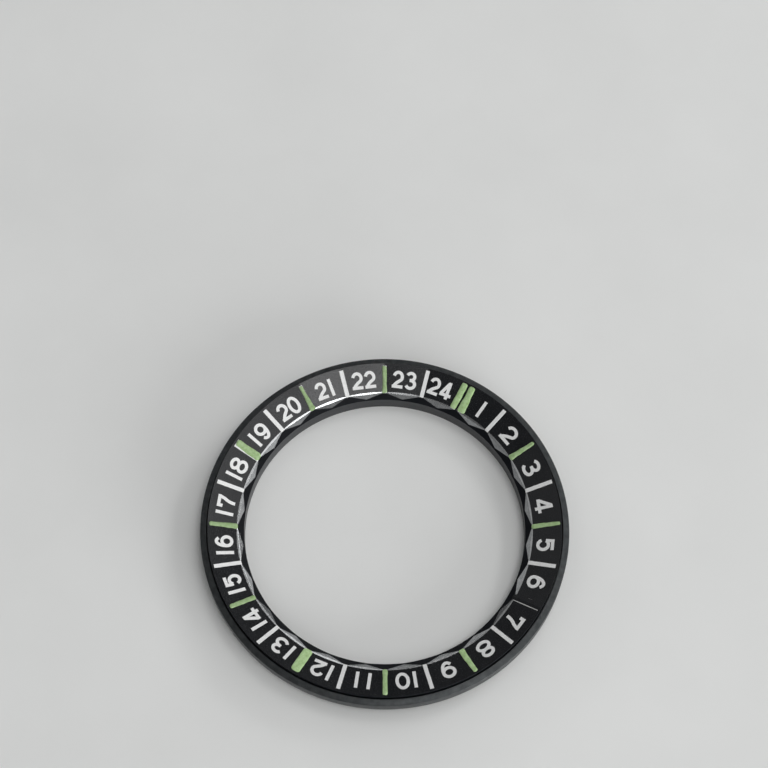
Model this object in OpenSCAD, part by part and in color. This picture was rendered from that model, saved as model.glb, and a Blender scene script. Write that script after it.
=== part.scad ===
// Inner rotating bezel of a watch: a 24-hour scale on 24 flat facets.
// The ring lies flat with its axis along +Z. The boundary between 24 and 1 points along +Y,
// and the numbers run clockwise as seen from above.

/* [Metal rings] */
// Diameter of the bore that shows the dial
bore_d = 27.44; // [25:0.02:32]
// Width of the bright facets, from the bore to their tops
lens_w = 0.555; // [0.5:0.005:0.62]
// Width of the scale, from the tops of the bright facets to its outer edge
scale_w = 2.925; // [2.8:0.005:3.4]
// Width of the open joint line between the scale and the rim
joint_w = 0.14; // [0.06:0.02:0.24]
// Width of the band on the rim
band_w = 0.61; // [0.5:0.01:0.9]
// Step in from the scale's outer edge to its seat, which is pressed into the rim
seat_step = 0.7; // [0.4:0.05:1]
// Gap around the pressed seat
seat_gap = 0.01; // [0.005:0.005:0.03]
// Height of the ledge that the scale rests on
seat_h = 1.7; // [1.5:0.05:2]
// Height of the scale's outer edge above the ledge, where two facets meet
scale_t = 1.16; // [1.1:0.02:1.4]
// Drop from the scale's outer edge to the band on the rim
band_drop = 0.34; // [0.2:0.02:0.6]
// Outward fall of the band
band_tilt = 12; // [4:1:20]
// Thickness of the rim below the ledge
ledge_t = 0.6; // [0.4:0.05:0.8]

/* [Face teeth] */
// Number of teeth under the rim
tooth_count = 110; // [90:2:120]
// Height of the teeth
tooth_h = 0.6; // [0.4:0.05:0.8]
// Width of the toothed ring
tooth_w = 0.75; // [0.5:0.05:0.9]
// Step in from the rim's wall to the teeth
tooth_step = 0.2; // [0.1:0.01:0.3]
// Width of the gap between two teeth at their tips
gap_tip_w = 0.72; // [0.6:0.01:0.75]
// Width of the gap between two teeth at their roots
gap_root_w = 0.27; // [0.1:0.01:0.4]

/* [Facets] */
// Slope of the numeral facets
facet_tilt = 17.8; // [14:0.2:22]
// Slope of the bright facets
lens_tilt = 36.4; // [34:0.2:40]
// Slope of the black bevels between the bright facets
bevel_tilt = 25; // [24:0.1:26]

/* [Lacquer and print] */
// Thickness of the black lacquer on the numeral facets
lacquer_t = 0.03; // [0.02:0.005:0.05]
// Thickness of the black paint on the bevels at their outer corners
bevel_t = 0.05; // [0.04:0.005:0.06]
// Thickness of the same paint at the bore, where it thins out
bevel_edge_t = 0.01; // [0.01:0.001:0.012]
// Bare metal between the corners of the bright facets and the lacquer on the scale
bare_w = 0.027; // [0.02:0.001:0.1]
// Thickness of the white print
ink_t = 0.03; // [0.02:0.005:0.05]
// Thickness of the luminous paint above the print
lume_t = 0.08; // [0.04:0.01:0.12]
// Space between the scale's outer edge and the marks
mark_rim = 0.21; // [0.05:0.01:0.3]
// Space between the lacquer's inner edge and the marks
mark_edge = 0.02; // [0.01:0.01:0.1]
// Width of the white division lines
line_w = 0.4; // [0.3:0.01:0.5]
// Width of a narrow luminous mark at its outer end
lume_out_w = 0.42; // [0.38:0.01:0.5]
// Width of a narrow luminous mark at its inner end
lume_in_w = 0.58; // [0.5:0.01:0.7]
// Width of the wide luminous marks
wide_w = 0.9; // [0.8:0.01:1]
// Width of the left bar of the double mark
left_w = 0.6; // [0.5:0.01:0.7]
// Width of the right bar of the double mark at its inner end
right_w = 0.8; // [0.6:0.01:0.9]
// Width of the right bar of the double mark at its outer end
right_out_w = 0.6; // [0.5:0.01:0.7]
// Gap between the two bars of the double mark
double_gap = 0.19; // [0.1:0.01:0.3]
// How far the luminous paint reaches past the white print below it
lume_over = 0.04; // [0.02:0.01:0.08]
// Width of the white edge left on the worn mark
worn_w = 0.1; // [0.06:0.01:0.2]

/* [Numbers] */
// Height of the figures, measured on the slope
figure_h = 1.78; // [1.5:0.01:2]
// How far the round figures 0, 3, 6, 8 and 9 reach past the others, above and below
overshoot = 0.04; // [0:0.01:0.08]
// Width of the figures' strokes
stroke_w = 0.32; // [0.25:0.01:0.42]
// Space between the scale's outer edge and the top of the figures
figure_rim = 0.69; // [0.5:0.01:0.8]
// Width of a figure that stands alone
single_w = 1.42; // [1.3:0.01:1.5]
// Width of a figure after a leading 1
teen_w = 1.3; // [1.2:0.01:1.4]
// Width of each figure of a broad pair
pair_w = 1.15; // [1.1:0.01:1.2]
// Space between a leading 1 and the next figure
teen_gap = 0.365; // [0.3:0.005:0.42]
// Space between the figures of a broad pair
pair_gap = 0.14; // [0.12:0.01:0.2]
// Space between a leading 2 and a closing 1
closing_gap = 0.335; // [0.3:0.005:0.4]

/* [Hidden] */
// How far each number's print lies clockwise of its facet's middle, from 1 to 24
shifts = [0.21, 0, 0, 0, 0.03, -0.11, 0.23, 0.05, 0.07, -0.19, 0.03, -0.28,
          -0.1, -0.23, -0.25, -0.26, -0.25, -0.35, -0.16, -0.08, 0.13, -0.07, -0.05, -0.4];
// What each figure from 0 to 9 adds to the common width
width_trims = [0.07, 0, 0.01, 0.05, 0.07, -0.12, -0.06, -0.05, 0.11, -0.03];
round_figures = [0, 3, 6, 8, 9];

hours = len(shifts);
pitch = 360 / hours;

// Radii, from the bore outwards. A facet's line is nearest to the axis at its middle
bore_r = bore_d / 2;
lens_mid = bore_r + lens_w;
corner_r = lens_mid / cos(pitch / 2);
lacquer_r = corner_r + bare_w;
scale_r = lens_mid + scale_w;
scale_mid = scale_r * cos(pitch / 2);
seat_r = scale_r - seat_step;
band_r = scale_r + joint_w;
rim_r = band_r + band_w;
tooth_out_r = rim_r - tooth_step;
tooth_in_r = tooth_out_r - tooth_w;

// Heights
scale_h = seat_h + scale_t;
lens_h = scale_h - (scale_mid - lens_mid) * tan(facet_tilt);
band_h = scale_h - band_drop;
band_edge_h = band_h - band_w * tan(band_tilt);
rim_under_h = seat_h - ledge_t;
tooth_tip_h = rim_under_h - tooth_h;

// Slope of the metal below the paint on the bevels
under_tilt = atan(tan(bevel_tilt) - (bevel_t - bevel_edge_t) / (corner_r - bore_r));

// Middle line of the figures
figure_mid = scale_r - figure_rim - figure_h / 2 * cos(facet_tilt);
figure_mid_h = scale_h - (scale_mid - figure_mid) * tan(facet_tilt);
// Ends of the marks, and the middles of the two bars of the double mark
mark_in = lacquer_r + mark_edge;
mark_out = scale_r - mark_rim;
left_x = -(double_gap + left_w) / 2;
right_x = (double_gap + right_w) / 2;
// A size that reaches past the whole ring, how far a cut runs past what it cuts, and how far the
// space above the facets is followed up
reach = 4 * rim_r;
past = 0.2;
headroom = 1;
$fn = 360;

narrow_marks = [for (n = [2:2:hours - 1]) if (n % 6 != 0) n];
wide_marks = [hours / 2, hours * 3 / 4];

function two_digits(n) = n < 10 ? str("0", n) : str(n);
function numeral_name(n) = str("numeral_", two_digits(n));
function line_name(n) = str("line_", two_digits(n));
function lume_name(n) = str("lume_", two_digits(n));

// Everything above one sloping plane, which passes height h at distance d along +Y
module above(d, h, tilt) {
    translate([0, d, h])
    rotate([tilt, 0, 0])
    translate([-reach, -reach, 0])
    cube([2 * reach, 2 * reach, reach]);
}

// Everything above such a plane for each number, from inside the bore to outside the scale. The
// planes face the numbers, or are turned by a share of the space from one number to the next
module bowl(d, h, tilt, turn = 0, planes = hours) {
    if (planes == 0) {
        tube(bore_r - past, scale_r + past, 0, scale_h + headroom);
    } else {
        intersection() {
            bowl(d, h, tilt, turn, planes - 1);
            rotate([0, 0, -(planes - 0.5 + turn) * pitch])
            above(d, h, tilt);
        }
    }
}

module facet_bowl(rise) {
    bowl(scale_mid, scale_h + rise, facet_tilt);
}

module lens_bowl() {
    bowl(lens_mid, lens_h, lens_tilt);
}

// The bevels face the boundaries between the numbers
module bevel_bowl() {
    bowl(corner_r, lens_h, bevel_tilt, 0.5);
}

module bevel_metal_bowl() {
    bowl(corner_r, lens_h - bevel_t, under_tilt, 0.5);
}

module tube(r_in, r_out, low, high) {
    translate([0, 0, low])
    difference() {
        cylinder(r = r_out, h = high - low);
        translate([0, 0, -past])
        cylinder(r = r_in, h = high - low + 2 * past);
    }
}

module faceted_ring() {
    color([0.62, 0.62, 0.6])
    difference() {
        rotate_extrude()
        polygon([
            [bore_r, 0],
            [seat_r, 0],
            [seat_r, seat_h],
            [scale_r, seat_h],
            [scale_r, scale_h + past],
            [bore_r, scale_h + past]
        ]);
        facet_bowl(0);
        intersection() {
            lens_bowl();
            bevel_metal_bowl();
        }
    }
}

module tooth_gap() {
    tip = gap_tip_w / 2;
    root = gap_root_w / 2;
    translate([tooth_in_r - past, 0, tooth_tip_h])
    rotate([90, 0, 90])
    linear_extrude(height = tooth_w + 2 * past)
    polygon([[-tip, -past], [tip, -past], [tip, 0], [root, tooth_h], [-root, tooth_h], [-tip, 0]]);
}

module drive_ring() {
    color([0.25, 0.26, 0.26]) {
        rotate_extrude()
        polygon([
            [seat_r + seat_gap, rim_under_h],
            [rim_r, rim_under_h],
            [rim_r, band_edge_h],
            [band_r, band_h],
            [band_r, seat_h],
            [seat_r + seat_gap, seat_h]
        ]);
        difference() {
            tube(tooth_in_r, tooth_out_r, tooth_tip_h, rim_under_h);
            for (i = [0:tooth_count - 1])
            rotate([0, 0, i * 360 / tooth_count])
            tooth_gap();
        }
    }
}

module facet_lacquer() {
    color([0.06, 0.06, 0.06])
    intersection() {
        difference() {
            tube(lacquer_r, scale_r, seat_h, scale_h + past);
            facet_bowl(lacquer_t);
        }
        facet_bowl(0);
    }
}

module bevel_lacquer() {
    color([0.05, 0.05, 0.05])
    intersection() {
        difference() {
            tube(bore_r, lacquer_r, 0, scale_h);
            bevel_bowl();
        }
        bevel_metal_bowl();
        lens_bowl();
    }
}

// Points along part of an ellipse
function arc(x, y, rx, ry, from, to, steps) =
    [for (k = [0:steps]) let(a = from + (to - from) * k / steps) [x + rx * cos(a), y + ry * sin(a)]];

// Points beside a line of points, at a distance to its left
function beside(points, distance, closed) =
    let(n = len(points))
    [for (i = [0:n - 1])
        let(
            back = points[closed ? (i + n - 1) % n : max(i - 1, 0)],
            ahead = points[closed ? (i + 1) % n : min(i + 1, n - 1)],
            along = (ahead - back) / norm(ahead - back)
        )
        points[i] + distance * [-along[1], along[0]]];

function reversed(points) = [for (i = [len(points) - 1:-1:0]) points[i]];

// One pen stroke that starts and ends
module stroke(points) {
    polygon(concat(beside(points, stroke_w / 2, false), reversed(beside(points, -stroke_w / 2, false))));
}

// One pen stroke that closes on itself, as an ellipse
module loop(x, y, rx, ry) {
    points = arc(x, y, rx, ry, 0, 345, 23);
    difference() {
        polygon(beside(points, -stroke_w / 2, true));
        polygon(beside(points, stroke_w / 2, true));
    }
}

// Each figure lies round the origin: a is half its width and t half its height, both to the
// middle of the stroke, and s is half the stroke
module figure(digit, width) {
    s = stroke_w / 2;
    a = width / 2 - s;
    t = figure_h / 2 - s + (len(search(digit, round_figures)) > 0 ? overshoot : 0);
    if (digit == 0) loop(0, 0, a, t);
    if (digit == 1) stroke([[0, -t - s], [0, t + s]]);
    if (digit == 2) figure_two(a, t, s);
    if (digit == 3) figure_three(a, t);
    if (digit == 4) figure_four(a, t, s);
    if (digit == 5) figure_five(a, t, s);
    if (digit == 6) figure_six(a, t);
    if (digit == 7) figure_seven(a, t, s);
    if (digit == 8) figure_eight(a, t);
    if (digit == 9) rotate(180) figure_six(a, t);
}

module figure_two(a, t, s) {
    r = 0.27 * figure_h;
    neck = [[-0.1 * a, -0.17 * figure_h], [-0.62 * a, -0.3 * figure_h], [-0.88 * a, -t]];
    stroke(concat(arc(0, t - r, a, r, 168, -32, 12), neck));
    stroke([[-a - s * 0.8, -t], [a + s * 0.8, -t]]);
}

module figure_three(a, t) {
    top = 0.205 * figure_h;
    bottom = t - top;
    stroke(arc(0, t - top, 0.86 * a, top, 158, -90, 12));
    stroke(arc(0, bottom - t, a, bottom, 90, -158, 14));
    stroke([[-0.25 * a, t - 2 * top], [0.15 * a, t - 2 * top]]);
}

module figure_four(a, t, s) {
    bar = -0.265 * figure_h;
    stroke([[0.3 * a, t + 0.3 * s], [-0.95 * a, bar + 0.3 * s]]);
    stroke([[-a - 0.7 * s, bar], [a + s, bar]]);
    stroke([[0.42 * a, -t - s], [0.42 * a, t + s]]);
}

module figure_five(a, t, s) {
    r = 0.3 * figure_h;
    stroke([[-0.85 * a, t], [0.85 * a + 0.7 * s, t]]);
    stroke([[-0.85 * a, t + 0.98 * s], [-0.92 * a, 0.02 * figure_h]]);
    stroke(arc(0, r - t, a, r, 150, -158, 16));
}

module figure_six(a, t) {
    r = 0.275 * figure_h;
    loop(0, r - t, a, r);
    stroke(arc(0.06 * a, r - t, 1.06 * a, 2 * t - r, 176, 48, 12));
}

module figure_seven(a, t, s) {
    drop = figure_h / 2;
    stroke([[-a, t], [a + s, t]]);
    stroke([[-a, t + 0.98 * s], [-a, t - 0.46 * drop]]);
    stroke([[0.93 * a, t], [0.86 * a, 0.52 * drop], [0.62 * a, 0.2 * drop], [0.34 * a, -0.04 * drop],
        [0.08 * a, -0.4 * drop], [-0.06 * a, -0.72 * drop], [-0.1 * a, -t - s]]);
}

module figure_eight(a, t) {
    top = 0.2 * figure_h;
    bottom = t - top;
    loop(0, t - top, 0.88 * a, top);
    loop(0, bottom - t, a, bottom);
}

// The figures of one number, round the middle of its facet
module number_outline(n) {
    tens = floor(n / 10);
    ones = n % 10;
    width = (tens == 0 ? single_w : tens == 1 ? teen_w : pair_w) + width_trims[ones];
    step = tens == 1 ? (stroke_w + teen_w) / 2 + teen_gap
        : ones == 1 ? (pair_w + stroke_w) / 2 + closing_gap
        : pair_w + pair_gap;
    if (tens == 0) {
        figure(ones, width);
    } else {
        translate([-step / 2, 0]) figure(tens, pair_w);
        translate([step / 2, 0]) figure(ones, width);
    }
}

module numeral(n) {
    color([0.93, 0.93, 0.92])
    rotate([0, 0, -(n - 0.5) * pitch])
    translate([0, figure_mid, figure_mid_h + lacquer_t])
    rotate([facet_tilt, 0, 0])
    linear_extrude(height = ink_t)
    translate([shifts[n - 1], 0])
    number_outline(n);
}

// The layer between two heights above the two facets that meet at the +Y boundary
module boundary_layer(low, high) {
    difference() {
        boundary_space(low);
        boundary_space(high);
    }
}

module boundary_space(rise) {
    intersection_for (side = [-1, 1])
    rotate([0, 0, side * pitch / 2])
    above(scale_mid, scale_h + rise, facet_tilt);
}

// A mark on the boundary after number n: its children are its outline, seen from above
module mark(n, low, high) {
    rotate([0, 0, -n * pitch])
    intersection() {
        linear_extrude(height = scale_h + past)
        children();
        boundary_layer(low, high);
    }
}

// Outline of a bar along +Y, w_in wide at its inner end and w_out wide at its outer end
module bar(x, w_in, w_out) {
    translate([x, 0])
    polygon([[-w_in / 2, mark_in], [w_in / 2, mark_in], [w_out / 2, mark_out], [-w_out / 2, mark_out]]);
}

// The same with round ends, as paint leaves them, and set in all round by an inset
module round_bar(x, w_in, w_out, inset = 0) {
    translate([x, 0])
    polygon(concat(
        arc(0, mark_in + w_in / 3, w_in / 2 - inset, w_in / 3 - inset, 180, 360, 10),
        arc(0, mark_out - w_out / 3, w_out / 2 - inset, w_out / 3 - inset, 0, 180, 10)
    ));
}

module line_mark(n) {
    color([0.93, 0.93, 0.92])
    mark(n, lacquer_t, lacquer_t + ink_t)
    bar(0, line_w, line_w);
}

// Outlines of the white print below the luminous marks
module print_outline(n) {
    if (n == hours) {
        round_bar(left_x, left_w, left_w, lume_over);
        round_bar(right_x, right_out_w, right_out_w, lume_over);
    } else if (n % 6 == 0) {
        round_bar(0, wide_w, wide_w, lume_over);
    } else {
        round_bar(0, lume_out_w, lume_out_w, lume_over);
    }
}

module print_under(n) {
    mark(n, lacquer_t, lacquer_t + ink_t)
    print_outline(n);
}

module underprint() {
    color([0.9, 0.9, 0.89])
    for (n = concat(narrow_marks, wide_marks, [hours]))
    print_under(n);
}

// Luminous paint laid over its print, down to the lacquer round it
module lume_over_print(n) {
    color([0.66, 0.76, 0.55])
    difference() {
        mark(n, lacquer_t, lacquer_t + ink_t + lume_t)
        children();
        print_under(n);
    }
}

module lume_narrow(n) {
    lume_over_print(n)
    round_bar(0, lume_in_w, lume_out_w);
}

module lume_wide(n) {
    lume_over_print(n)
    round_bar(0, wide_w, wide_w);
}

module lume_24_left() {
    lume_over_print(hours)
    round_bar(left_x, left_w, left_w);
}

module lume_24_right() {
    lume_over_print(hours)
    round_bar(right_x, right_w, right_out_w);
}

// The white edge that is left where the mark after 6 has lost its paint
module worn_print() {
    color([0.9, 0.9, 0.89])
    mark(6, lacquer_t, lacquer_t + ink_t)
    bar(wide_w / 2 - lume_over - worn_w / 2, worn_w, worn_w);
}

faceted_ring();
drive_ring();
facet_lacquer();
bevel_lacquer();
for (n = [1:hours]) numeral(n);
for (n = [1:2:hours]) line_mark(n);
underprint();
worn_print();
for (n = narrow_marks) lume_narrow(n);
for (n = wide_marks) lume_wide(n);
lume_24_left();
lume_24_right();
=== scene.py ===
import math

import bmesh
import bpy
from mathutils import Matrix, Vector, noise


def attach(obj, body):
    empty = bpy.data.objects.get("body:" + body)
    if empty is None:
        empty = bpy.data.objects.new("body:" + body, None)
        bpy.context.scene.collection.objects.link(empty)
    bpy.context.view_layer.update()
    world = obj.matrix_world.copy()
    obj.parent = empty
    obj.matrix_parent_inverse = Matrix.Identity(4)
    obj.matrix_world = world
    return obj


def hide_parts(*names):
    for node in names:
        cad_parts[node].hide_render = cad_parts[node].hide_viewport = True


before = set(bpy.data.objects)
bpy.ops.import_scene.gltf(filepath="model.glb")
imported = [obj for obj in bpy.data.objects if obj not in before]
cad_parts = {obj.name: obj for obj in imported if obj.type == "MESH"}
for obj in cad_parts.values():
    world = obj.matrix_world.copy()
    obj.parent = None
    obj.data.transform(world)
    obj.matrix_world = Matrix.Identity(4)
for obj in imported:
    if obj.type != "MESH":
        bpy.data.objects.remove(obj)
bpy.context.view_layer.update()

mm = 0.001
print("frame loaded:", len(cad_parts), "nodes")


# The ring's own sizes in millimetres and degrees, as its parts have them
ring = {
    "facets": 24,
    "boreRadius": 13.72,
    "lensWidth": 0.555,
    "scaleWidth": 2.925,
    "bareWidth": 0.027,
    "jointWidth": 0.14,
    "bandWidth": 0.61,
    "seatStep": 0.7,
    "seatHeight": 1.7,
    "scaleThickness": 1.16,
    "facetTilt": 17.8,
    "lensTilt": 36.4,
    "bevelTilt": 25,
    "bevelPaint": 0.05,
    "bevelPaintAtBore": 0.01,
    "lacquer": 0.03,
}


def slope(degrees):
    return math.tan(math.radians(degrees))


halfPitch = math.pi / ring["facets"]
facetSlope = slope(ring["facetTilt"])
lensSlope = slope(ring["lensTilt"])
bevelSlope = slope(ring["bevelTilt"])

boreRadius = ring["boreRadius"]
lensMid = boreRadius + ring["lensWidth"]
cornerRadius = lensMid / math.cos(halfPitch)
lacquerRadius = cornerRadius + ring["bareWidth"]
scaleRadius = lensMid + ring["scaleWidth"]
seatRadius = scaleRadius - ring["seatStep"]
bandRadius = scaleRadius + ring["jointWidth"]
rimRadius = bandRadius + ring["bandWidth"]

scaleHeight = ring["seatHeight"] + ring["scaleThickness"]
lensHeight = scaleHeight - (scaleRadius * math.cos(halfPitch) - lensMid) * facetSlope
paintThinning = (ring["bevelPaint"] - ring["bevelPaintAtBore"]) / (cornerRadius - boreRadius)
bevelMetalSlope = bevelSlope - paintThinning


def fromMiddle(angle):
    # angle from the middle of the facet that it falls on
    return angle % (2 * halfPitch) - halfPitch


def fromBoundary(angle):
    return halfPitch - abs(fromMiddle(angle))


def facetAt(reach):
    return lensHeight + (reach - lensMid) * facetSlope


def lensAt(radius, angle):
    return lensHeight + (radius * math.cos(fromMiddle(angle)) - lensMid) * lensSlope


def bevelAt(radius, angle, ofMetal=False):
    # the black bevels face the boundaries, and their metal lies a little below the paint
    slopeHere = bevelMetalSlope if ofMetal else bevelSlope
    sunk = ring["bevelPaint"] if ofMetal else 0
    return lensHeight - sunk + (radius * math.cos(fromBoundary(angle)) - cornerRadius) * slopeHere


def lensFoot(angle, ofMetal=False):
    # radius where a bright facet runs out into a bevel
    slopeHere = bevelMetalSlope if ofMetal else bevelSlope
    sunk = ring["bevelPaint"] if ofMetal else 0
    run = math.cos(fromMiddle(angle)) * lensSlope - math.cos(fromBoundary(angle)) * slopeHere
    foot = (lensMid * lensSlope - cornerRadius * slopeHere - sunk) / run
    return min(max(foot, boreRadius), lensMid / math.cos(fromMiddle(angle)))


def onRing(radius, angle, height):
    # angles run clockwise from the boundary between 24 and 1, as the numbers do
    return Vector((radius * math.sin(angle), radius * math.cos(angle), height)) * mm


# Camera

cameraPlan = {
    "azimuth": 29.304,
    "elevation": 64.928,
    "roll": 0.678,
    "distance": 173.736,
    "focalPixels": 1789.585,
    "imageSize": 768,
    "axisAt": (384.8, 523.41),  # where the ring's axis passes the marks' height, in pixels
    "axisHeight": 2.796,
    "sensor": 36,
    "nearest": 0.01,  # nothing nearer than this is drawn, in metres
}


def makeCamera(plan):
    azimuth, elevation, roll = (math.radians(plan[key]) for key in ("azimuth", "elevation", "roll"))
    back = Vector((
        math.sin(azimuth) * math.cos(elevation),
        -math.cos(azimuth) * math.cos(elevation),
        math.sin(elevation),
    ))
    level = Vector((math.cos(azimuth), math.sin(azimuth), 0))
    upright = back.cross(level)
    right = level * math.cos(roll) + upright * math.sin(roll)
    up = upright * math.cos(roll) - level * math.sin(roll)
    middle = plan["imageSize"] / 2
    perPixel = plan["distance"] / plan["focalPixels"]
    place = Vector((0, 0, plan["axisHeight"])) + plan["distance"] * back
    place -= (plan["axisAt"][0] - middle) * perPixel * right
    place += (plan["axisAt"][1] - middle) * perPixel * up

    data = bpy.data.cameras.new("camera")
    data.sensor_width = plan["sensor"]
    data.lens = plan["focalPixels"] * plan["sensor"] / plan["imageSize"]
    data.clip_start = plan["nearest"]
    camera = bpy.data.objects.new("camera", data)
    camera.matrix_world = Matrix((
        (right.x, up.x, back.x, place.x * mm),
        (right.y, up.y, back.y, place.y * mm),
        (right.z, up.z, back.z, place.z * mm),
        (0, 0, 0, 1),
    ))
    bpy.context.scene.collection.objects.link(camera)
    bpy.context.scene.camera = camera


makeCamera(cameraPlan)
print("camera placed")


# Materials

def newLook(name):
    look = bpy.data.materials.new(name)
    look.use_nodes = True
    look.node_tree.nodes.clear()
    return look, NodeBench(look.node_tree)


class NodeBench:
    # short calls for the few kinds of node that the materials share

    def __init__(self, tree):
        self.tree = tree
        output = self.add("ShaderNodeOutputMaterial")
        self.shader = self.add("ShaderNodeBsdfPrincipled")
        self.join(self.shader.outputs[0], output.inputs[0])
        place = self.add("ShaderNodeTexCoord").outputs["Object"]
        scaled = self.add("ShaderNodeVectorMath")
        scaled.operation = "SCALE"
        scaled.inputs["Scale"].default_value = 1 / mm
        self.join(place, scaled.inputs[0])
        self.place = scaled.outputs[0]  # position in millimetres

    def add(self, kind):
        return self.tree.nodes.new(kind)

    def join(self, source, target):
        self.tree.links.new(source, target)

    def set(self, **values):
        for name, value in values.items():
            socket = self.shader.inputs[name.replace("_", " ")]
            socket.default_value = (*value, 1) if isinstance(value, tuple) else value

    def turned(self, across, along):
        # radius and height stretched much more than the way round, as lathe marks run
        apart = self.add("ShaderNodeSeparateXYZ")
        self.join(self.place, apart.inputs[0])
        flat = self.add("ShaderNodeCombineXYZ")
        self.join(apart.outputs[0], flat.inputs[0])
        self.join(apart.outputs[1], flat.inputs[1])
        radius = self.add("ShaderNodeVectorMath")
        radius.operation = "LENGTH"
        self.join(flat.outputs[0], radius.inputs[0])
        way = self.add("ShaderNodeVectorMath")
        way.operation = "NORMALIZE"
        self.join(flat.outputs[0], way.inputs[0])
        stretch = self.add("ShaderNodeVectorMath")
        stretch.operation = "SCALE"
        stretch.inputs["Scale"].default_value = along
        self.join(way.outputs[0], stretch.inputs[0])
        rise = self.math("MULTIPLY", self.math("ADD", radius.outputs["Value"], apart.outputs[2]), across)
        lift = self.add("ShaderNodeCombineXYZ")
        self.join(rise, lift.inputs[2])
        total = self.add("ShaderNodeVectorMath")
        total.operation = "ADD"
        self.join(stretch.outputs[0], total.inputs[0])
        self.join(lift.outputs[0], total.inputs[1])
        return total.outputs[0]

    def math(self, operation, first, second):
        node = self.add("ShaderNodeMath")
        node.operation = operation
        for socket, value in zip(node.inputs, (first, second)):
            if isinstance(value, (int, float)):
                socket.default_value = value
            else:
                self.join(value, socket)
        return node.outputs[0]

    def grain(self, scale, detail=3.0, roughness=0.55, at=None):
        node = self.add("ShaderNodeTexNoise")
        node.inputs["Scale"].default_value = scale
        node.inputs["Detail"].default_value = detail
        node.inputs["Roughness"].default_value = roughness
        self.join(at or self.place, node.inputs["Vector"])
        return node.outputs[0]

    def spread(self, value, low, high):
        # grain mostly stays between 0.3 and 0.7, and is stretched from there to low and high
        node = self.add("ShaderNodeMapRange")
        node.inputs["From Min"].default_value = 0.3
        node.inputs["From Max"].default_value = 0.7
        node.inputs["To Min"].default_value = low
        node.inputs["To Max"].default_value = high
        self.join(value, node.inputs["Value"])
        return node.outputs[0]

    def blend(self, value, first, second):
        node = self.add("ShaderNodeMix")
        node.data_type = "RGBA"
        node.inputs["A"].default_value = (*first, 1)
        node.inputs["B"].default_value = (*second, 1)
        self.join(value, node.inputs["Factor"])
        # the colour result is the last of the node's outputs
        return node.outputs[2]

    def tint(self, cloud, dark, light):
        self.join(self.blend(self.spread(cloud, 0, 1), dark, light), self.shader.inputs["Base Color"])

    def polish(self, grain, roughness):
        self.join(self.spread(grain, *roughness), self.shader.inputs["Roughness"])

    def relief(self, grain, depth):
        # depth in millimetres
        node = self.add("ShaderNodeBump")
        node.inputs["Strength"].default_value = 1
        node.inputs["Distance"].default_value = depth * mm
        self.join(grain, node.inputs["Height"])
        self.join(node.outputs[0], self.shader.inputs["Normal"])


lacquerPlan = {
    "dark": (0.0065, 0.0075, 0.009),
    "light": (0.011, 0.012, 0.014),
    "roughness": (0.16, 0.3),
    "gloss": 0.5,
    "cloudScale": 1.1,
    "peelScale": 9,
    "peelDepth": 0.002,
}

bevelPaintPlan = {
    **lacquerPlan,
    "dark": (0.005, 0.006, 0.008),
    "light": (0.009, 0.01, 0.012),
    "roughness": (0.25, 0.4),
    "gloss": 0.09,
}


def makeLacquer(name, plan):
    look, bench = newLook(name)
    cloud = bench.grain(plan["cloudScale"], detail=4)
    peel = bench.grain(plan["peelScale"], detail=2)
    bench.set(Metallic=0.0, Specular_IOR_Level=plan["gloss"])
    bench.tint(cloud, plan["dark"], plan["light"])
    bench.polish(peel, plan["roughness"])
    bench.relief(peel, plan["peelDepth"])
    return look


# Turned surfaces: lines run round the axis, and lineScale says how close they lie across and along
brightSteelPlan = {
    "metallic": 1.0,
    "dark": (0.36, 0.372, 0.38),
    "light": (0.5, 0.512, 0.52),
    "cloudScale": 2.4,
    "cloudDetail": 3,
    "roughness": (0.17, 0.23),
    "lineScale": (38, 9),
    "lineDetail": 2,
    "lineDepth": 0.0005,
}

# the bare strip is the same cut steel as the bright facets; its lighter colour is a painted highlight
# along the facets' top edge
stripPaintedHighlightPlan = {
    **brightSteelPlan,
    "dark": (0.58, 0.592, 0.6),
    "light": (0.74, 0.752, 0.76),
    "roughness": (0.2, 0.26),
    "lineDepth": 0.0006,
}

rimSteelPlan = {
    "metallic": 0.75,
    "dark": (0.036, 0.04, 0.042),
    "light": (0.07, 0.075, 0.077),
    "cloudScale": 1.6,
    "cloudDetail": 4,
    "roughness": (0.36, 0.46),
    "lineScale": (30, 6),
    "lineDetail": 3,
    "lineDepth": 0.003,
}

blackCoatPlan = {
    "metallic": 0.0,
    "dark": (0.0075, 0.009, 0.0115),
    "light": (0.0135, 0.0155, 0.019),
    "cloudScale": 2,
    "cloudDetail": 4,
    "roughness": (0.3, 0.45),
    "lineScale": (24, 7),
    "lineDetail": 3,
    "lineDepth": 0.003,
}


def makeTurned(name, plan):
    look, bench = newLook(name)
    lines = bench.grain(1, plan["lineDetail"], at=bench.turned(*plan["lineScale"]))
    cloud = bench.grain(plan["cloudScale"], plan["cloudDetail"])
    bench.set(Metallic=plan["metallic"])
    bench.tint(cloud, plan["dark"], plan["light"])
    bench.polish(lines, plan["roughness"])
    bench.relief(lines, plan["lineDepth"])
    return look


inkPlan = {
    "dark": (0.82, 0.825, 0.82),
    "light": (0.92, 0.925, 0.92),
    "roughness": 0.45,
    "grainScale": 7,
    "grainDepth": 0.004,
}

agedInkPlan = {
    **inkPlan,
    "dark": (0.42, 0.42, 0.415),
    "light": (0.56, 0.56, 0.55),
    "roughness": 0.5,
}

fadedInkPlan = {
    **inkPlan,
    "dark": (0.06, 0.06, 0.06),
    "light": (0.2, 0.2, 0.19),
    "roughness": 0.5,
}


def makeInk(name, plan):
    look, bench = newLook(name)
    grain = bench.grain(plan["grainScale"], detail=4)
    bench.set(Metallic=0.0, Roughness=plan["roughness"])
    bench.tint(grain, plan["dark"], plan["light"])
    bench.relief(grain, plan["grainDepth"])
    return look


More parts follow.
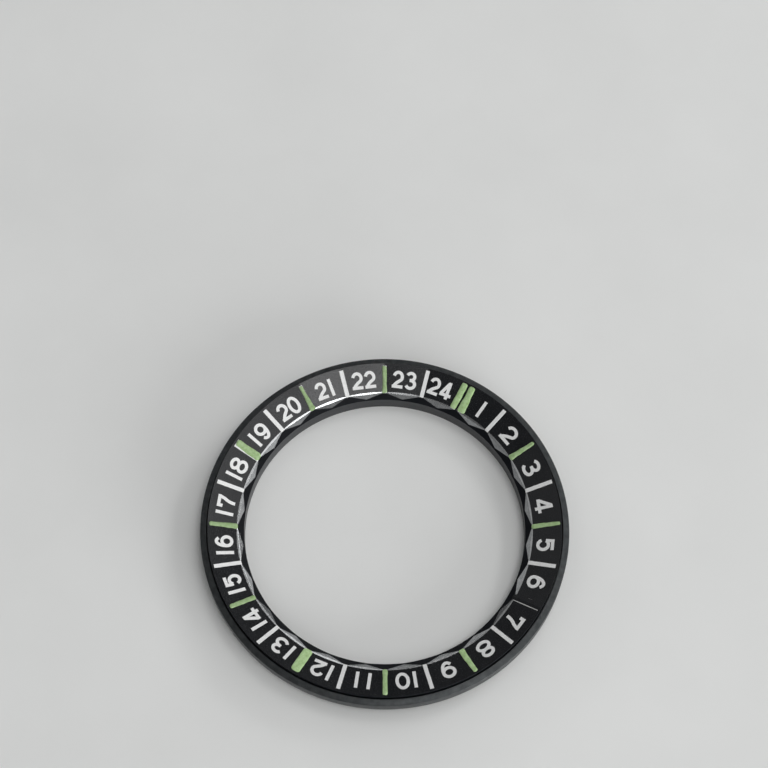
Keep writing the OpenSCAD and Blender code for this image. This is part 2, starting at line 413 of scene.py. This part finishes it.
lumePlan = {
    "dark": (0.26, 0.41, 0.16),
    "light": (0.43, 0.58, 0.32),
    "roughness": 0.62,
    "cloudScale": 3.2,
    "cloudRoughness": 0.65,
    "grainScale": 16,
    "grainDepth": 0.02,
}


def makeLume(name, plan, paintedLightTone):
    # each mark was filled by hand; its tone is painted light and shade, lighter for the marks on the right
    # and at the bottom and darker for those on the left, against the low light from the right
    look, bench = newLook(name)
    dark, light = (tuple(c * paintedLightTone for c in plan[key]) for key in ("dark", "light"))
    cloud = bench.grain(plan["cloudScale"], detail=5, roughness=plan["cloudRoughness"])
    grain = bench.grain(plan["grainScale"], detail=3)
    bench.set(Metallic=0.0, Roughness=plan["roughness"])
    bench.tint(cloud, dark, light)
    bench.relief(grain, plan["grainDepth"])
    return look


blackLacquer = makeLacquer("blackLacquer", lacquerPlan)
bevelPaint = makeLacquer("bevelPaint", bevelPaintPlan)
blackCoat = makeTurned("blackCoat", blackCoatPlan)
brightSteel = makeTurned("brightSteel", brightSteelPlan)
stripPaintedHighlightSteel = makeTurned("stripPaintedHighlightSteel", stripPaintedHighlightPlan)
rimSteel = makeTurned("darkSatinSteel", rimSteelPlan)
whiteInk = makeInk("whiteInk", inkPlan)
agedInk = makeInk("agedInk", agedInkPlan)
fadedInk = makeInk("fadedInk", fadedInkPlan)
print("materials made")


# Mesh helpers

def finishPiece(bm, name, looks, replaced):
    # looks are the piece's materials, and replaced the CAD nodes that this piece stands for
    bmesh.ops.recalc_face_normals(bm, faces=bm.faces)
    mesh = bpy.data.meshes.new(name)
    bm.to_mesh(mesh)
    bm.free()
    for look in looks:
        mesh.materials.append(look)
    piece = bpy.data.objects.new(name, mesh)
    bpy.context.scene.collection.objects.link(piece)
    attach(piece, "root")
    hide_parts(*replaced)


meshPlan = {
    "roundingSteps": 4,
    "sideShare": 0.45,  # the most of a side that a rounding may take
    "touching": 1e-8,  # corners nearer than this are one, in metres
}


def roundedSection(corners):
    # corners are (radius, height, rounding, flat side, look); a rounded corner becomes a short curve
    points = []
    steps, sideShare = meshPlan["roundingSteps"], meshPlan["sideShare"]
    for k, (radius, height, rounding, flat, look) in enumerate(corners):
        here = Vector((radius, height))
        if rounding == 0:
            points.append((here, True, flat, look))
            continue
        before = Vector(corners[k - 1][:2]) - here
        after = Vector(corners[(k + 1) % len(corners)][:2]) - here
        start = here + before.normalized() * min(rounding, before.length * sideShare)
        end = here + after.normalized() * min(rounding, after.length * sideShare)
        for step in range(steps + 1):
            t = step / steps
            point = start * (1 - t) ** 2 + here * 2 * t * (1 - t) + end * t ** 2
            points.append((point, False, flat and step == steps, look))
    return points


def sweepRing(bm, sectionAt, columns):
    # a closed section carried round the axis; flat sides stay flat, sharp corners stay sharp
    angles = [2 * math.pi * i / columns for i in range(columns)]
    sections = [roundedSection(sectionAt(a)) for a in angles]
    rows = [[bm.verts.new(onRing(p[0].x, a, p[0].y)) for p in s] for s, a in zip(sections, angles)]
    count = len(rows[0])
    for i in range(columns):
        j = (i + 1) % columns
        for k in range(count):
            n = (k + 1) % count
            corners = []
            for v in (rows[i][k], rows[i][n], rows[j][n], rows[j][k]):
                if all((v.co - c.co).length > meshPlan["touching"] for c in corners):
                    corners.append(v)
            if len(corners) < 3:
                continue
            face = bm.faces.new(corners)
            point, sharp, flat, look = sections[i][k]
            face.smooth = not flat
            face.material_index = look
            for edge in face.edges:
                if sharp and rows[i][k] in edge.verts and rows[j][k] in edge.verts:
                    edge.smooth = False
    bmesh.ops.remove_doubles(bm, verts=bm.verts, dist=meshPlan["touching"])


# The metal scale ring, with its bright facets

scaleRingPlan = {
    "columnsPerFacet": 24,
    "edgeRounding": 0.06,
    "stripTilt": 22.5,  # of the bare strip between the lacquer and a bright facet
    "stripRounding": 0.02,
}


def stripFoot(angle):
    # radius where the bare strip meets the bright facet
    crease = lensMid / math.cos(fromMiddle(angle))
    stripSlope = slope(scaleRingPlan["stripTilt"])
    share = (stripSlope - facetSlope) / (lensSlope - stripSlope)
    return max(crease - (lacquerRadius - crease) * share, lensFoot(angle, ofMetal=True))


def scaleRingSection(angle):
    turn = math.cos(fromMiddle(angle))
    foot = lensFoot(angle, ofMetal=True)
    strip = stripFoot(angle)
    boreEdge = max(bevelAt(boreRadius, angle, ofMetal=True), lensAt(boreRadius, angle))
    edge = scaleRingPlan["edgeRounding"]
    bare, coated, paintedHighlight = 0, 1, 2
    return [
        (boreRadius, 0, edge, False, coated),
        (seatRadius, 0, edge, False, coated),
        (seatRadius, ring["seatHeight"], 0, False, coated),
        (scaleRadius, ring["seatHeight"], 0, False, coated),
        (scaleRadius, facetAt(scaleRadius * turn), 0, True, bare),
        # from the lacquer's edge down to the strip's foot the steel takes the lighter copy, a painted
        # highlight
        (lacquerRadius, facetAt(lacquerRadius * turn), 0, True, paintedHighlight),
        (strip, lensAt(strip, angle), scaleRingPlan["stripRounding"], True, bare),
        (foot, lensAt(foot, angle), 0, True, bare),
        (boreRadius, boreEdge, 0, False, coated),
    ]


def makeScaleRing():
    bm = bmesh.new()
    sweepRing(bm, scaleRingSection, ring["facets"] * scaleRingPlan["columnsPerFacet"])
    looks = [brightSteel, blackCoat, stripPaintedHighlightSteel]
    finishPiece(bm, "scaleRing", looks, ["faceted_ring"])


# The black film on the numeral facets, and the one round the bore

filmPlan = {
    "columnsPerFacet": 24,
    "edge": 0.012,
}


def facetFilmSection(angle):
    turn = math.cos(fromMiddle(angle))
    thick = ring["lacquer"]
    edge = filmPlan["edge"]
    return [
        (lacquerRadius, facetAt(lacquerRadius * turn), 0, False, 0),
        (lacquerRadius, facetAt(lacquerRadius * turn) + thick - edge, 0, False, 0),
        (lacquerRadius + edge, facetAt((lacquerRadius + edge) * turn) + thick, 0, True, 0),
        (scaleRadius - edge, facetAt((scaleRadius - edge) * turn) + thick, 0, False, 0),
        (scaleRadius, facetAt(scaleRadius * turn) + thick - edge, 0, False, 0),
        (scaleRadius, facetAt(scaleRadius * turn), 0, True, 0),
    ]


def bevelFilmSection(angle):
    top = lensFoot(angle)
    under = lensFoot(angle, ofMetal=True)
    boreEdge = max(bevelAt(boreRadius, angle, ofMetal=True), lensAt(boreRadius, angle))
    return [
        (boreRadius, boreEdge, 0, False, 0),
        (boreRadius, bevelAt(boreRadius, angle), 0, True, 0),
        (top, lensAt(top, angle), 0, True, 0),
        (under, lensAt(under, angle), 0, True, 0),
    ]


def makeFilms():
    columns = ring["facets"] * filmPlan["columnsPerFacet"]
    bm = bmesh.new()
    sweepRing(bm, facetFilmSection, columns)
    finishPiece(bm, "facetFilm", [blackLacquer], ["facet_lacquer"])
    bm = bmesh.new()
    sweepRing(bm, bevelFilmSection, columns)
    finishPiece(bm, "bevelFilm", [bevelPaint], ["bevel_lacquer"])


# The outer rim with its band and the teeth below it

rimShape = {
    "columns": 720,
    "seatGap": 0.01,
    "bandDrop": 0.34,
    "bandTilt": 12,
    "ledge": 0.6,
    "rounding": 0.07,
    "innerRounding": 0.042,
    "teeth": 110,
    "toothHeight": 0.6,
    "toothWidth": 0.75,
    "toothStep": 0.2,
    "toothSunk": 0.05,  # how far a tooth runs up into the rim
    "gapTip": 0.72,
    "gapRoot": 0.27,
    "toothRounding": 0.035,
}


def rimSection(angle):
    plan = rimShape
    inner = seatRadius + plan["seatGap"]
    under = ring["seatHeight"] - plan["ledge"]
    high = scaleHeight - plan["bandDrop"]
    low = high - ring["bandWidth"] * slope(plan["bandTilt"])
    soft = plan["rounding"]
    return [
        (inner, under, 0, False, 0),
        (rimRadius, under, soft, False, 0),
        (rimRadius, low, soft, False, 0),
        (bandRadius, high, plan["innerRounding"], False, 0),
        (bandRadius, ring["seatHeight"], 0, False, 0),
        (inner, ring["seatHeight"], 0, False, 0),
    ]


def addTooth(bm, middle):
    plan = rimShape
    under = ring["seatHeight"] - plan["ledge"]
    outer = rimRadius - plan["toothStep"]
    inner = outer - plan["toothWidth"]
    tip = under - plan["toothHeight"]
    corners = []
    for height, gap in ((tip, plan["gapTip"]), (under + plan["toothSunk"], plan["gapRoot"])):
        for radius in (inner, outer):
            half = radius * math.sin(math.pi / plan["teeth"]) - gap / 2
            for side in (-half, half):
                angle = middle + math.atan2(side, radius)
                corners.append(bm.verts.new(onRing(math.hypot(radius, side), angle, height)))
    sides = ((0, 1, 3, 2), (4, 6, 7, 5), (0, 4, 5, 1), (2, 3, 7, 6), (0, 2, 6, 4), (1, 5, 7, 3))
    faces = [bm.faces.new([corners[i] for i in side]) for side in sides]
    halfway = (tip + under) / 2 * mm
    tipEdges = {e for f in faces for e in f.edges if min(v.co.z for v in e.verts) < halfway}
    bmesh.ops.bevel(bm, geom=list(tipEdges), offset=plan["toothRounding"] * mm, segments=2, affect="EDGES")


def makeRim():
    bm = bmesh.new()
    sweepRing(bm, rimSection, rimShape["columns"])
    for i in range(rimShape["teeth"]):
        addTooth(bm, 2 * math.pi * i / rimShape["teeth"])
    finishPiece(bm, "driveRim", [rimSteel], ["drive_ring"])


makeScaleRing()
makeFilms()
makeRim()
print("metal and films made")


# Print and paint on the boundaries between the numbers

def surfaceAt(x, y):
    # height of the scale's surface beside a boundary, which lies along y
    reach = abs(x) * math.sin(halfPitch) + y * math.cos(halfPitch)
    radius = math.hypot(x, y)
    angle = math.atan2(x, y)
    if reach >= lensMid:
        return facetAt(reach) + (ring["lacquer"] if radius >= lacquerRadius else 0)
    return max(lensAt(radius, angle), bevelAt(radius, angle))


def overFacets(x, y):
    # the same without the fall towards the bore, so that paint bridges the corner
    return facetAt(abs(x) * math.sin(halfPitch) + y * math.cos(halfPitch)) + ring["lacquer"]


def between(stops, s):
    # a value read from evenly spread stops, eased between them
    place = s * (len(stops) - 1)
    k = min(int(place), len(stops) - 2)
    t = place - k
    t = t * t * (3 - 2 * t)
    return stops[k] * (1 - t) + stops[k + 1] * t


brush = {
    "across": 12,  # columns over a stroke's width
    "sunk": 0.003,  # how far a stroke's underside lies below the surface
    "sag": 0.012,  # how far it sags where it bridges the corner at the bore
    "endThickness": 0.35,  # share of its thickness that is left at the ends
    "edgeThickness": 0.25,  # and at the edges
    "lumpRates": (4, 2.5),  # lumps to a millimetre, across and along
    "endRate": 6,
    "endReach": 0.1,  # how far from an end its wavering is felt
    "edgeNoise": (3, -3),  # where the right and left edges read the noise, so that they differ
    "endNoise": (9, 2),  # the same for the outer and inner ends
    "noiseSteps": (7.3, 3.1, 5.7),  # from one mark to the next, for edges, ends and lumps
}


def strokePoint(stroke, boundary, s, q):
    # s runs from 0 to 1 along a stroke and q from -1 to 1 across it; gives x, y and the film's rise
    length = stroke["outer"] - stroke["inner"]
    y = stroke["inner"] + s * length
    fromEnd = min(s, 1 - s) * length
    square = min(1, fromEnd / stroke["cap"])
    narrow = stroke["endWidth"] + (1 - stroke["endWidth"]) * math.sqrt(1 - (1 - square) ** 2)
    half = between(stroke["widths"], s) * narrow / 2
    edgeStep, endStep, lumpStep = brush["noiseSteps"]
    side = brush["edgeNoise"][0 if q > 0 else 1]
    edge = noise.noise(Vector((y * stroke["waverRate"], side, boundary * edgeStep)))
    x = between(stroke["middles"], s) + q * (half + stroke["waver"] * edge)
    tip = brush["endNoise"][0 if s > 0.5 else 1]
    end = noise.noise(Vector((x * brush["endRate"], boundary * endStep, tip)))
    y += stroke["waver"] * end * max(0, 1 - fromEnd / max(stroke["cap"], brush["endReach"]))
    dome = max(0, 1 - abs(q) ** stroke["dome"]) ** (1 / stroke["dome"])
    acrossRate, alongRate = brush["lumpRates"]
    lump = noise.noise(Vector((x * acrossRate, y * alongRate, boundary * lumpStep)))
    ends = brush["endThickness"] + (1 - brush["endThickness"]) * math.sqrt(square)
    return x, y, stroke["thick"] * dome * (1 + stroke["lumps"] * lump) * ends


def addStroke(bm, boundary, stroke, look=0):
    # one stroke of paint or print beside boundary number "boundary", from its inner to its outer end
    facesBefore = len(bm.faces)
    rows, across = stroke["rows"], brush["across"]
    turn = 2 * halfPitch * boundary
    top, bottom = [], []
    for i in range(rows + 1):
        # rows and columns lie closer together near the ends and edges
        s = 0.5 - 0.5 * math.cos(math.pi * i / rows)
        topRow, bottomRow = [], []
        for k in range(across + 1):
            x, y, rise = strokePoint(stroke, boundary, s, -math.cos(math.pi * k / across))
            surface = surfaceAt(x, y)
            sag = 0 if y > lacquerRadius else brush["sag"]
            if i in (0, rows) or k in (0, across):
                rise = max(rise, stroke["thick"] * brush["edgeThickness"])
            level = max(surface, overFacets(x, y) - sag) + rise
            radius, angle = math.hypot(x, y), turn + math.atan2(x, y)
            bottomRow.append(bm.verts.new(onRing(radius, angle, surface - brush["sunk"])))
            topRow.append(bm.verts.new(onRing(radius, angle, level)))
        top.append(topRow)
        bottom.append(bottomRow)
    for i in range(rows):
        for k in range(across):
            bm.faces.new((top[i][k], top[i][k + 1], top[i + 1][k + 1], top[i + 1][k])).smooth = True
            bm.faces.new((bottom[i][k], bottom[i + 1][k], bottom[i + 1][k + 1], bottom[i][k + 1]))
        for k in (0, across):
            bm.faces.new((top[i][k], top[i + 1][k], bottom[i + 1][k], bottom[i][k])).smooth = True
    for k in range(across):
        for i in (0, rows):
            bm.faces.new((top[i][k], bottom[i][k], bottom[i][k + 1], top[i][k + 1])).smooth = True
    for face in list(bm.faces)[facesBefore:]:
        face.material_index = look


# Strokes as they mostly are: print is flat with square ends, paint is domed, lumpy and rounder
printStroke = {
    "inner": 14.33,
    "outer": 16.985,
    "middles": (0, 0),
    "widths": (0.4, 0.4),
    "rows": 36,
    "cap": 0.03,
    "endWidth": 0.9,
    "waver": 0.008,
    "waverRate": 3,
    "dome": 12,
    "lumps": 0.05,
    "thick": 0.03,
}

lumeStroke = {
    "inner": 14.33,
    "outer": 17.03,
    "middles": (0, 0),
    "widths": (0.56, 0.46, 0.42, 0.4),
    "rows": 44,
    "cap": 0.16,
    "endWidth": 0.35,
    "waver": 0.035,
    "waverRate": 2.2,
    "dome": 2.6,
    "lumps": 0.35,
    "thick": 0.1,
}


def printed(**changes):
    return {**printStroke, **changes}


def painted(**changes):
    return {**lumeStroke, **changes}


# Widths of the white lines, measured after each odd number
lineWidths = {
    1: 0.4, 3: 0.4, 5: 0.4, 7: 0.39, 9: 0.39, 11: 0.39,
    13: 0.385, 15: 0.385, 17: 0.41, 19: 0.42, 21: 0.42, 23: 0.4,
}

# Hand-filled marks: the number each one follows, its tone as painted light and shade (lighter on the right
# and at the bottom, darker on the left), and how it differs from the common stroke
lumeMarks = {
    "lume_02": (2, 1.1, painted(widths=(0.6, 0.5, 0.42, 0.38), middles=(-0.02, 0, 0.02))),
    "lume_04": (4, 1.17, painted(widths=(0.48, 0.46, 0.4, 0.36), middles=(0.03, 0, -0.02))),
    "lume_08": (8, 1.36, painted(widths=(0.58, 0.54, 0.48, 0.46), middles=(0, 0.02, 0))),
    "lume_10": (10, 1.2, painted(widths=(0.5, 0.44, 0.44, 0.48))),
    "lume_14": (14, 0.95, painted(outer=16.97, widths=(0.5, 0.46, 0.46, 0.44), middles=(-0.03, 0, 0.03))),
    "lume_16": (16, 0.9, painted(widths=(0.56, 0.5, 0.44, 0.42))),
    "lume_20": (20, 0.9, painted(outer=16.93, widths=(0.64, 0.46, 0.34, 0.36), middles=(0, 0.01, -0.01))),
    "lume_22": (22, 0.94, painted(outer=16.95, widths=(0.52, 0.4, 0.42, 0.44))),
    "lume_12": (12, 1.38, painted(outer=16.96, widths=(0.9, 0.92, 0.94, 0.9), cap=0.22, thick=0.09)),
    "lume_18": (18, 1.02, painted(
        outer=16.95, widths=(0.86, 0.8, 0.74, 0.7), middles=(0.03, 0.05, 0.1), cap=0.2, thick=0.09)),
    "lume_24_left": (24, 1.2, painted(widths=(0.6, 0.62, 0.6), middles=(-0.42, -0.41, -0.41))),
    "lume_24_right": (24, 1.25, painted(
        widths=(0.84, 0.76, 0.62, 0.62), middles=(0.5, 0.46, 0.43), cap=0.2)),
}

# White print that lies below the paint and shows beside or past it
shownPrint = {
    18: printed(widths=(0.83, 0.83), outer=16.97),
    20: printed(widths=(0.34, 0.36), outer=16.98),
    22: printed(widths=(0.36, 0.38), outer=16.98),
}
hiddenPrint = {
    2: printed(widths=(0.3, 0.3), outer=16.9),
    4: printed(widths=(0.3, 0.28), outer=16.9),
    8: printed(widths=(0.34, 0.34), outer=16.9),
    10: printed(widths=(0.32, 0.32), outer=16.9),
    12: printed(widths=(0.76, 0.76), outer=16.9),
    14: printed(widths=(0.32, 0.32), outer=16.75),
    16: printed(widths=(0.32, 0.32), outer=16.9),
}
doublePrint = (
    printed(widths=(0.5, 0.5), middles=(-0.42, -0.41), outer=16.85),
    printed(widths=(0.5, 0.5), middles=(0.47, 0.43), outer=16.85),
)

# What is left of the mark after 6: a white edge, faint scratches, and black over the bare corner
wornNumber = 6
wornEdge = printed(inner=14.4, middles=(0.36, 0.385), widths=(0.07, 0.1, 0.1, 0.08), waver=0.012)
wornScratches = (
    printed(inner=15.6, outer=15.8, middles=(-0.41, -0.4), widths=(0.05, 0.04), thick=0.006, rows=8),
    printed(inner=15.86, outer=16.02, middles=(-0.4, -0.41), widths=(0.04, 0.04), thick=0.006, rows=8),
)
wornCover = printed(inner=14.2, outer=14.46, widths=(0.5, 0.62), thick=0.012, rows=10, waver=0.02)


def makeLines():
    for number, width in lineWidths.items():
        bm = bmesh.new()
        addStroke(bm, number, printed(widths=(width, width)))
        node = f"line_{number:02d}"
        finishPiece(bm, f"print_{node}", [whiteInk], [node])


def makeLumeMarks():
    for node, (number, paintedLightTone, stroke) in lumeMarks.items():
        bm = bmesh.new()
        addStroke(bm, number, stroke)
        paint = makeLume(f"paint_{node}", lumePlan, paintedLightTone)
        finishPiece(bm, f"paint_{node}", [paint], [node])


def makePrintBelowPaint():
    bm = bmesh.new()
    for number, stroke in {**shownPrint, **hiddenPrint}.items():
        addStroke(bm, number, stroke)
    for stroke in doublePrint:
        addStroke(bm, ring["facets"], stroke)
    finishPiece(bm, "printBelowPaint", [whiteInk], ["underprint"])


def makeWornMark():
    bm = bmesh.new()
    addStroke(bm, wornNumber, wornEdge)
    for stroke in wornScratches:
        addStroke(bm, wornNumber, stroke, look=1)
    finishPiece(bm, "wornPrint", [agedInk, fadedInk], ["worn_print"])
    bm = bmesh.new()
    addStroke(bm, wornNumber, wornCover)
    finishPiece(bm, "blackOverCorner", [blackLacquer], [])


def colourNumerals():
    # the numbers keep their CAD shape and only get the ink
    for name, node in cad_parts.items():
        if name.startswith("numeral_"):
            for place in node.material_slots:
                place.link = "OBJECT"
                place.material = whiteInk


makeLines()
makeLumeMarks()
makePrintBelowPaint()
makeWornMark()
colourNumerals()
print("marks made")


# Floor, world and lights

floorPlan = {
    "size": 900,
    "dark": (0.875, 0.885, 0.875),
    "light": (0.915, 0.925, 0.915),
    "roughness": 0.9,
    "gloss": 0.1,
    "cloudScale": 0.05,
}


def makeFloor(plan):
    bm = bmesh.new()
    half = plan["size"] / 2 * mm
    corners = ((-1, -1), (1, -1), (1, 1), (-1, 1))
    bm.faces.new([bm.verts.new((x * half, y * half, 0)) for x, y in corners])
    mesh = bpy.data.meshes.new("floor")
    bm.to_mesh(mesh)
    bm.free()
    look, bench = newLook("palePaper")
    cloud = bench.grain(plan["cloudScale"], detail=3)
    bench.set(Roughness=plan["roughness"], Specular_IOR_Level=plan["gloss"])
    bench.tint(cloud, plan["dark"], plan["light"])
    mesh.materials.append(look)
    floor = bpy.data.objects.new("floor", mesh)
    bpy.context.scene.collection.objects.link(floor)


# What stands round the ring. Each has its place in degrees clockwise from the boundary of 24 and 1
# and above the floor, its width and height in degrees as the ring sees them, and its radiance
lights = {
    "lamp": ((106, 73), (16, 16), 4.3),
    "lampEdge": ((135, 74), (14, 14), 1.35),
    "lowWindow": ((108, 9), (36, 18), 13.0),
    "backWindowRight": ((25, 28), (16, 6), 8.5),
    "backWindow": ((350, 25), (16, 6), 1.2),
    "backWindowLeft": ((315, 22), (16, 6), 2.0),
    "rightPanel": ((52, 38), (40, 10), 2.1),
    "rightCeiling": ((70, 62), (26, 20), 1.05),
    "rightWall": ((60, 20), (40, 20), 0.56),
    "rightFrontWall": ((97, 36), (30, 14), 0.4),
    "backCeiling": ((5, 66), (30, 20), 1.7),
    "backPanel": ((0, 23), (50, 18), 1.1),
    "backWall": ((3, 37), (36, 14), 0.12),
    "backLeftWall": ((297, 37), (36, 14), 0.15),
    "backLeftPanel": ((300, 20), (50, 12), 0.32),
    "backTable": ((330, 6), (60, 12), 0.48),
    "leftWall": ((260, 16), (50, 28), 0.32),
    "leftCeiling": ((267, 52), (36, 24), 0.31),
    "leftFrontWall": ((210, 30), (50, 30), 0.27),
    "frontPanel": ((165, 54), (60, 14), 0.5),
    "frontWall": ((150, 40), (44, 14), 0.2),
}
roomPlan = {
    "lightDistance": 0.8,  # metres
    "ambient": 0.06,
}


def makeLight(name, place, span, radiance):
    distance = roomPlan["lightDistance"]
    azimuth, elevation = (math.radians(v) for v in place)
    way = Vector((
        math.sin(azimuth) * math.cos(elevation),
        math.cos(azimuth) * math.cos(elevation),
        math.sin(elevation),
    ))
    width, height = (2 * distance * math.tan(math.radians(v / 2)) for v in span)
    data = bpy.data.lights.new(name, "AREA")
    data.shape = "RECTANGLE"
    data.size, data.size_y = width, height
    # an area light's watts are its radiance times pi times its area
    data.energy = radiance * math.pi * width * height
    light = bpy.data.objects.new(name, data)
    light.location = way * distance
    light.rotation_euler = way.to_track_quat("Z", "Y").to_euler()
    bpy.context.scene.collection.objects.link(light)


def makeWorld(strength):
    world = bpy.data.worlds.new("room")
    world.use_nodes = True
    background = world.node_tree.nodes["Background"]
    background.inputs["Color"].default_value = (1, 1, 1, 1)
    background.inputs["Strength"].default_value = strength
    bpy.context.scene.world = world


makeFloor(floorPlan)
for name, (place, span, radiance) in lights.items():
    makeLight(name, place, span, radiance)
makeWorld(roomPlan["ambient"])
bpy.context.scene.view_settings.view_transform = "Standard"
print("floor and lights made")
